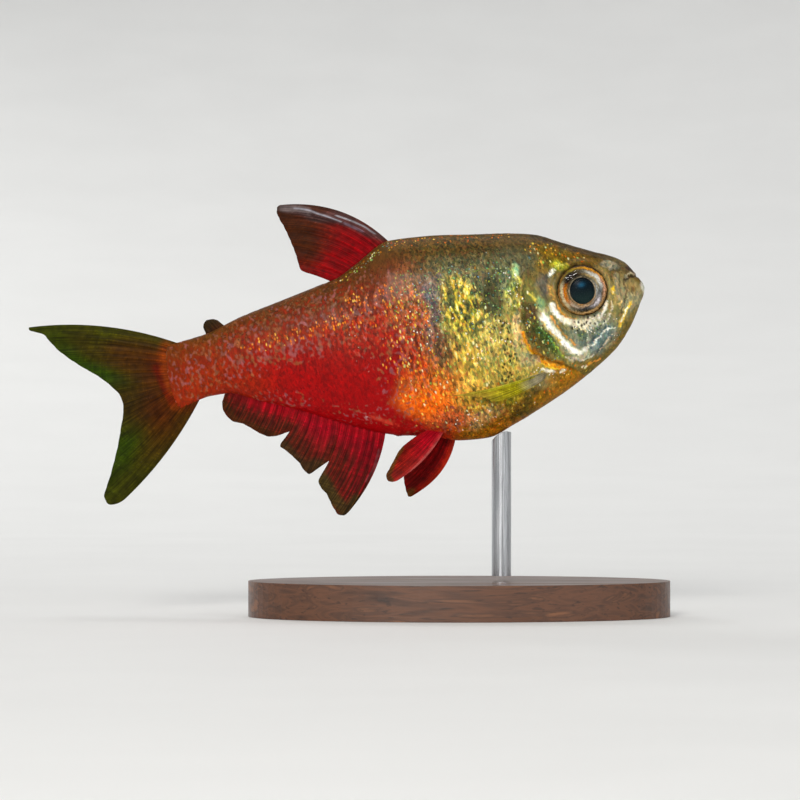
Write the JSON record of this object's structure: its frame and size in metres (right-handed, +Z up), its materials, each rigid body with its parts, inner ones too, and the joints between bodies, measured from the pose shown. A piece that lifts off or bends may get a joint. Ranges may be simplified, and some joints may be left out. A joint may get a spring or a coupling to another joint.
{
  "type": "flame tetra model on a display stand",
  "caption": "Still, life-size model of a small deep-bodied red and gold aquarium fish with forked tail and rayed fins, held over an oval wooden base by a short steel rod.",
  "frame": {"origin": "middle of the underside of the stand's base", "axes": "+X towards the fish's head, +Y to the fish's left, +Z up; the fish is pitched 11 degrees nose up"},
  "size_m": [0.0395, 0.014, 0.0253],
  "materials": {
    "head_skin": "wet olive and gold fish skin with a metallic sheen",
    "gill_cover_skin": "silver, white and gold bony cheek over a dark olive gill cover",
    "gold_flank": "foil-like gold scales with dark bars in front, deep red scales behind",
    "red_flank": "wet red and orange-brown scaled skin",
    "red_fin": "crimson fin membrane with darker and lighter rays",
    "olive_fin": "dark brown to olive fin membrane with fine rays",
    "gold_fin": "thin olive-yellow fin membrane with fine bright rays",
    "eye": "wet clear-coated eye with a gold and white iris and a dark pupil",
    "walnut": "satin dark walnut",
    "steel": "brushed round rod"
  },
  "bodies": {
    "root": {"head": "head_skin", "lower_jaw": "head_skin", "gill_cover_right": "gill_cover_skin", "gill_cover_left": "gill_cover_skin", "eye_right": "eye", "eye_left": "eye", "trunk": "gold_flank", "tail_stalk": "red_flank", "dorsal_fin": "red_fin", "adipose_fin": "olive_fin", "anal_fin": "red_fin", "tail_fin_upper": "olive_fin", "tail_fin_lower": "olive_fin", "pelvic_fin_right": "red_fin", "pelvic_fin_left": "red_fin", "pectoral_fin_right": "gold_fin", "pectoral_fin_left": "gold_fin", "stand_base": "walnut", "stand_rod": "steel"}
  },
  "joints": []
}
